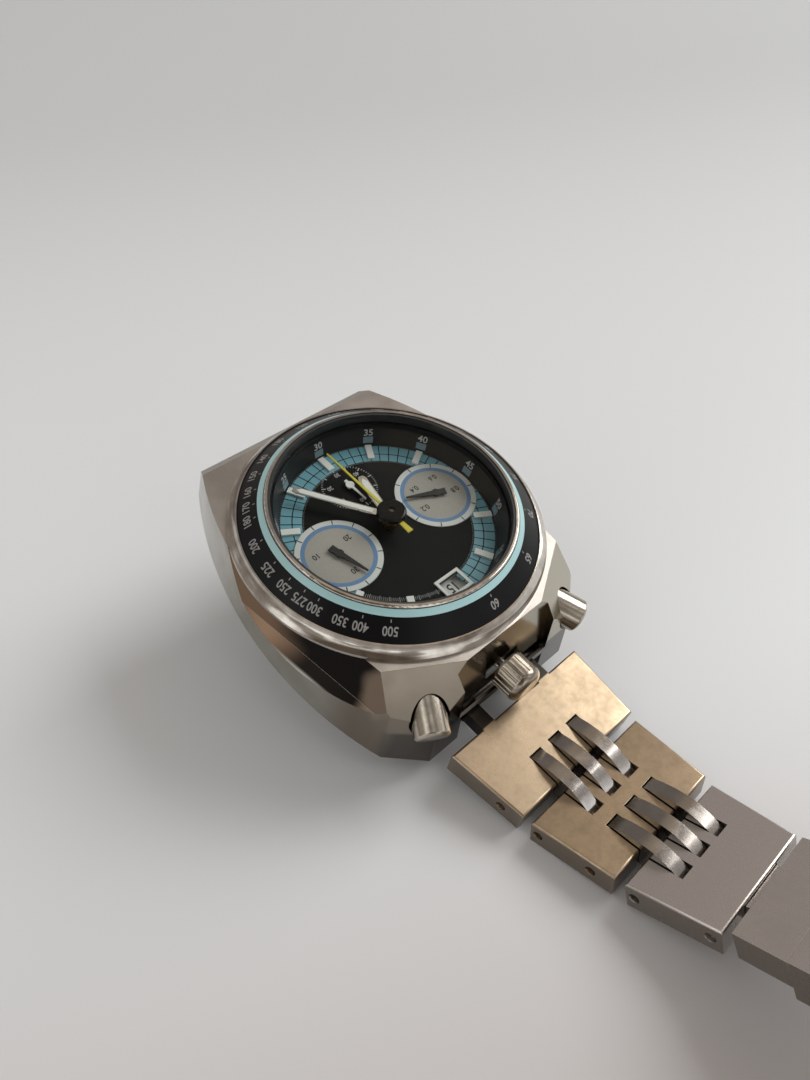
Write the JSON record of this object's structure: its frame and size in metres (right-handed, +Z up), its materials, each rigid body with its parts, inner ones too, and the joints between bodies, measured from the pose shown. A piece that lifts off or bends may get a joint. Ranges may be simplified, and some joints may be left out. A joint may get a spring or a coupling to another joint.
{
  "type": "wrist chronograph",
  "caption": "Bullhead wrist chronograph with crown and pushers at the top of a wedge case, on a tapered claw-link steel bracelet with a folding clasp.",
  "frame": {"origin": "centre of the bounding box's foot, on the table that the watch lies on", "axes": "+Z up, +Y from the dial towards 12 o'clock and the open clasp, +X towards 3 o'clock"},
  "size_m": [0.0388, 0.1136, 0.0271],
  "materials": {
    "case_steel": "satin with polished flanks",
    "polished_steel": "polished",
    "pin_steel": "turned and polished",
    "bracelet_steel": "brushed along the bracelet",
    "claw_steel": "polished",
    "insert_black": "satin black print with pale numerals",
    "crystal_glass": "clear",
    "gasket_black": "moulded",
    "flange_black": "satin black with pale numerals",
    "dial_black": "matt black with light blue checks",
    "subdial_silver": "fine circular graining",
    "marker_white": "polished with white inlay",
    "hand_white": "white lacquer",
    "hand_black": "black lacquer",
    "hand_yellow": "yellow lacquer",
    "hub_black": "gloss black",
    "date_white": "matt white",
    "movement_nickel": "nickel plated",
    "battery_steel": "plain",
    "coil_copper": "varnished winding",
    "wheel_brass": "cut brass",
    "ring_plastic": "moulded"
  },
  "bodies": {
    "head": {"case": "case_steel", "bezel": "polished_steel", "tachymeter_insert": "insert_black", "crystal": "crystal_glass", "crystal_gasket": "gasket_black", "flange": "flange_black", "dial": "dial_black", "subdial_nine": "subdial_silver", "subdial_three": "subdial_silver", "hour_markers": "marker_white", "date_frame": "polished_steel", "main_plate": "movement_nickel", "train_bridge": "movement_nickel", "battery": "battery_steel", "coil": "coil_copper", "setting_block": "movement_nickel", "crown_tube": "movement_nickel", "pusher_start_tube": "movement_nickel", "pusher_reset_tube": "movement_nickel", "movement_ring": "ring_plastic", "case_back": "case_steel", "spring_bar_twelve": "pin_steel", "spring_bar_six": "pin_steel"},
    "minute_work": {"cannon_pinion": "wheel_brass", "minute_hand": "hand_white"},
    "minute_wheel": {"minute_wheel": "wheel_brass"},
    "hour_work": {"hour_wheel": "wheel_brass", "hour_hand": "hand_white"},
    "chrono_work": {"chrono_arbor": "pin_steel", "chrono_hand": "hand_yellow", "hub_cap": "hub_black"},
    "sub_hand_nine": {"sub_hand_nine": "hand_black"},
    "sub_hand_three": {"sub_hand_three": "hand_black"},
    "sub_hand_lower": {"sub_hand_lower": "hand_white"},
    "date_ring": {"date_ring": "date_white"},
    "keyless_work": {"setting_pinion": "pin_steel"},
    "crown": {"crown": "polished_steel", "stem": "pin_steel"},
    "pusher_start": {"pusher_start": "polished_steel"},
    "pusher_reset": {"pusher_reset": "polished_steel"},
    "link_one": {"link_one": "bracelet_steel", "claws_one": "claw_steel"},
    "link_two": {"link_two": "bracelet_steel", "claws_two": "claw_steel"},
    "link_three": {"link_three": "bracelet_steel", "clasp_hinge_pin": "pin_steel"},
    "clasp": {"clasp_end_link": "bracelet_steel", "clasp_cover": "bracelet_steel", "blade_pin_far": "pin_steel"},
    "outer_blade": {"outer_blade": "bracelet_steel", "blade_pin_near": "pin_steel"},
    "inner_blade": {"inner_blade": "bracelet_steel", "catch_pin": "pin_steel"},
    "hidden_link_one": {"hidden_link_one": "bracelet_steel", "hidden_claws_one": "claw_steel"},
    "hidden_link_two": {"hidden_link_two": "bracelet_steel", "hidden_claws_two": "claw_steel"},
    "hidden_link_three": {"hidden_link_three": "bracelet_steel"}
  },
  "joints": [
    {"name": "minute_turn", "type": "hinge", "parent": "head", "child": "minute_work", "pos_m": [0, -0.03547, 0.01954], "axis": [0, -0.2079, -0.9781], "continuous": true},
    {"name": "minute_wheel_turn", "type": "hinge", "parent": "head", "child": "minute_wheel", "pos_m": [0.0036, -0.03547, 0.01954], "axis": [0, -0.2079, -0.9781], "continuous": true},
    {"name": "hour_turn", "type": "hinge", "parent": "head", "child": "hour_work", "pos_m": [0, -0.03547, 0.01954], "axis": [0, -0.2079, -0.9781], "continuous": true},
    {"name": "chrono_turn", "type": "hinge", "parent": "head", "child": "chrono_work", "pos_m": [0, -0.03547, 0.01954], "axis": [0, -0.2079, -0.9781], "continuous": true},
    {"name": "counter_nine_turn", "type": "hinge", "parent": "head", "child": "sub_hand_nine", "pos_m": [-0.0079, -0.03547, 0.01954], "axis": [0, -0.2079, -0.9781], "continuous": true},
    {"name": "counter_three_turn", "type": "hinge", "parent": "head", "child": "sub_hand_three", "pos_m": [0.0079, -0.03547, 0.01954], "axis": [0, -0.2079, -0.9781], "continuous": true},
    {"name": "seconds_turn", "type": "hinge", "parent": "head", "child": "sub_hand_lower", "pos_m": [0, -0.04261, 0.02105], "axis": [0, -0.2079, -0.9781], "continuous": true},
    {"name": "date_turn", "type": "hinge", "parent": "head", "child": "date_ring", "pos_m": [0, -0.03547, 0.01954], "axis": [0, -0.2079, -0.9781], "continuous": true},
    {"name": "crown_turn", "type": "hinge", "parent": "head", "child": "keyless_work", "pos_m": [0, -0.01603, 0.00999], "axis": [0, 0.9781, -0.2079], "continuous": true},
    {"name": "crown_pull", "type": "slide", "parent": "keyless_work", "child": "crown", "axis": [0, 0.9781, -0.2079], "range_m": [0, 0.0015]},
    {"name": "pusher_start_press", "type": "slide", "parent": "head", "child": "pusher_start", "axis": [0.483, -0.7644, 0.4271], "range_m": [0, 0.0012], "stiffness_N_per_m": 900, "springref_m": -0.0006},
    {"name": "pusher_reset_press", "type": "slide", "parent": "head", "child": "pusher_reset", "axis": [-0.483, -0.7644, 0.4271], "range_m": [0, 0.0012], "stiffness_N_per_m": 900, "springref_m": -0.0006},
    {"name": "lug_twelve", "type": "hinge", "parent": "head", "child": "link_one", "pos_m": [0, -0.01773, 0.00534], "axis": [1, 0, 0], "range_deg": [-75, 0]},
    {"name": "links_one_two", "type": "hinge", "parent": "link_one", "child": "link_two", "pos_m": [0, -0.00215, 0.00166], "axis": [1, 0, 0], "range_deg": [-45, 0]},
    {"name": "links_two_three", "type": "hinge", "parent": "link_two", "child": "link_three", "pos_m": [0, 0.00912, 0.00245], "axis": [1, 0, 0], "range_deg": [-45, 0]},
    {"name": "clasp_hinge", "type": "hinge", "parent": "link_three", "child": "clasp", "pos_m": [0, 0.01662, 0.00491], "axis": [1, 0, 0], "range_deg": [-40, 0]},
    {"name": "blade_far", "type": "hinge", "parent": "clasp", "child": "outer_blade", "pos_m": [0, 0.05439, 0.00573], "axis": [1, 0, 0], "range_deg": [0, 120]},
    {"name": "blade_near", "type": "hinge", "parent": "outer_blade", "child": "inner_blade", "pos_m": [0, 0.02581, 0.00864], "axis": [1, 0, 0], "range_deg": [-90, 0]},
    {"name": "lug_six", "type": "hinge", "parent": "head", "child": "hidden_link_one", "pos_m": [0, -0.05491, 0.01897], "axis": [-1, 0, 0], "range_deg": [0, 124]},
    {"name": "hidden_one_two", "type": "hinge", "parent": "hidden_link_one", "child": "hidden_link_two", "pos_m": [0, -0.04845, 0.00432], "axis": [-1, 0, 0], "range_deg": [0, 79]},
    {"name": "hidden_two_three", "type": "hinge", "parent": "hidden_link_two", "child": "hidden_link_three", "pos_m": [0, -0.03724, 0.00294], "axis": [-1, 0, 0], "range_deg": [-10, 28]}
  ],
  "couplings": [
    {"joint": "minute_wheel_turn", "follows": "minute_turn", "ratio": -0.33333},
    {"joint": "hour_turn", "follows": "minute_turn", "ratio": 0.083333}
  ]
}
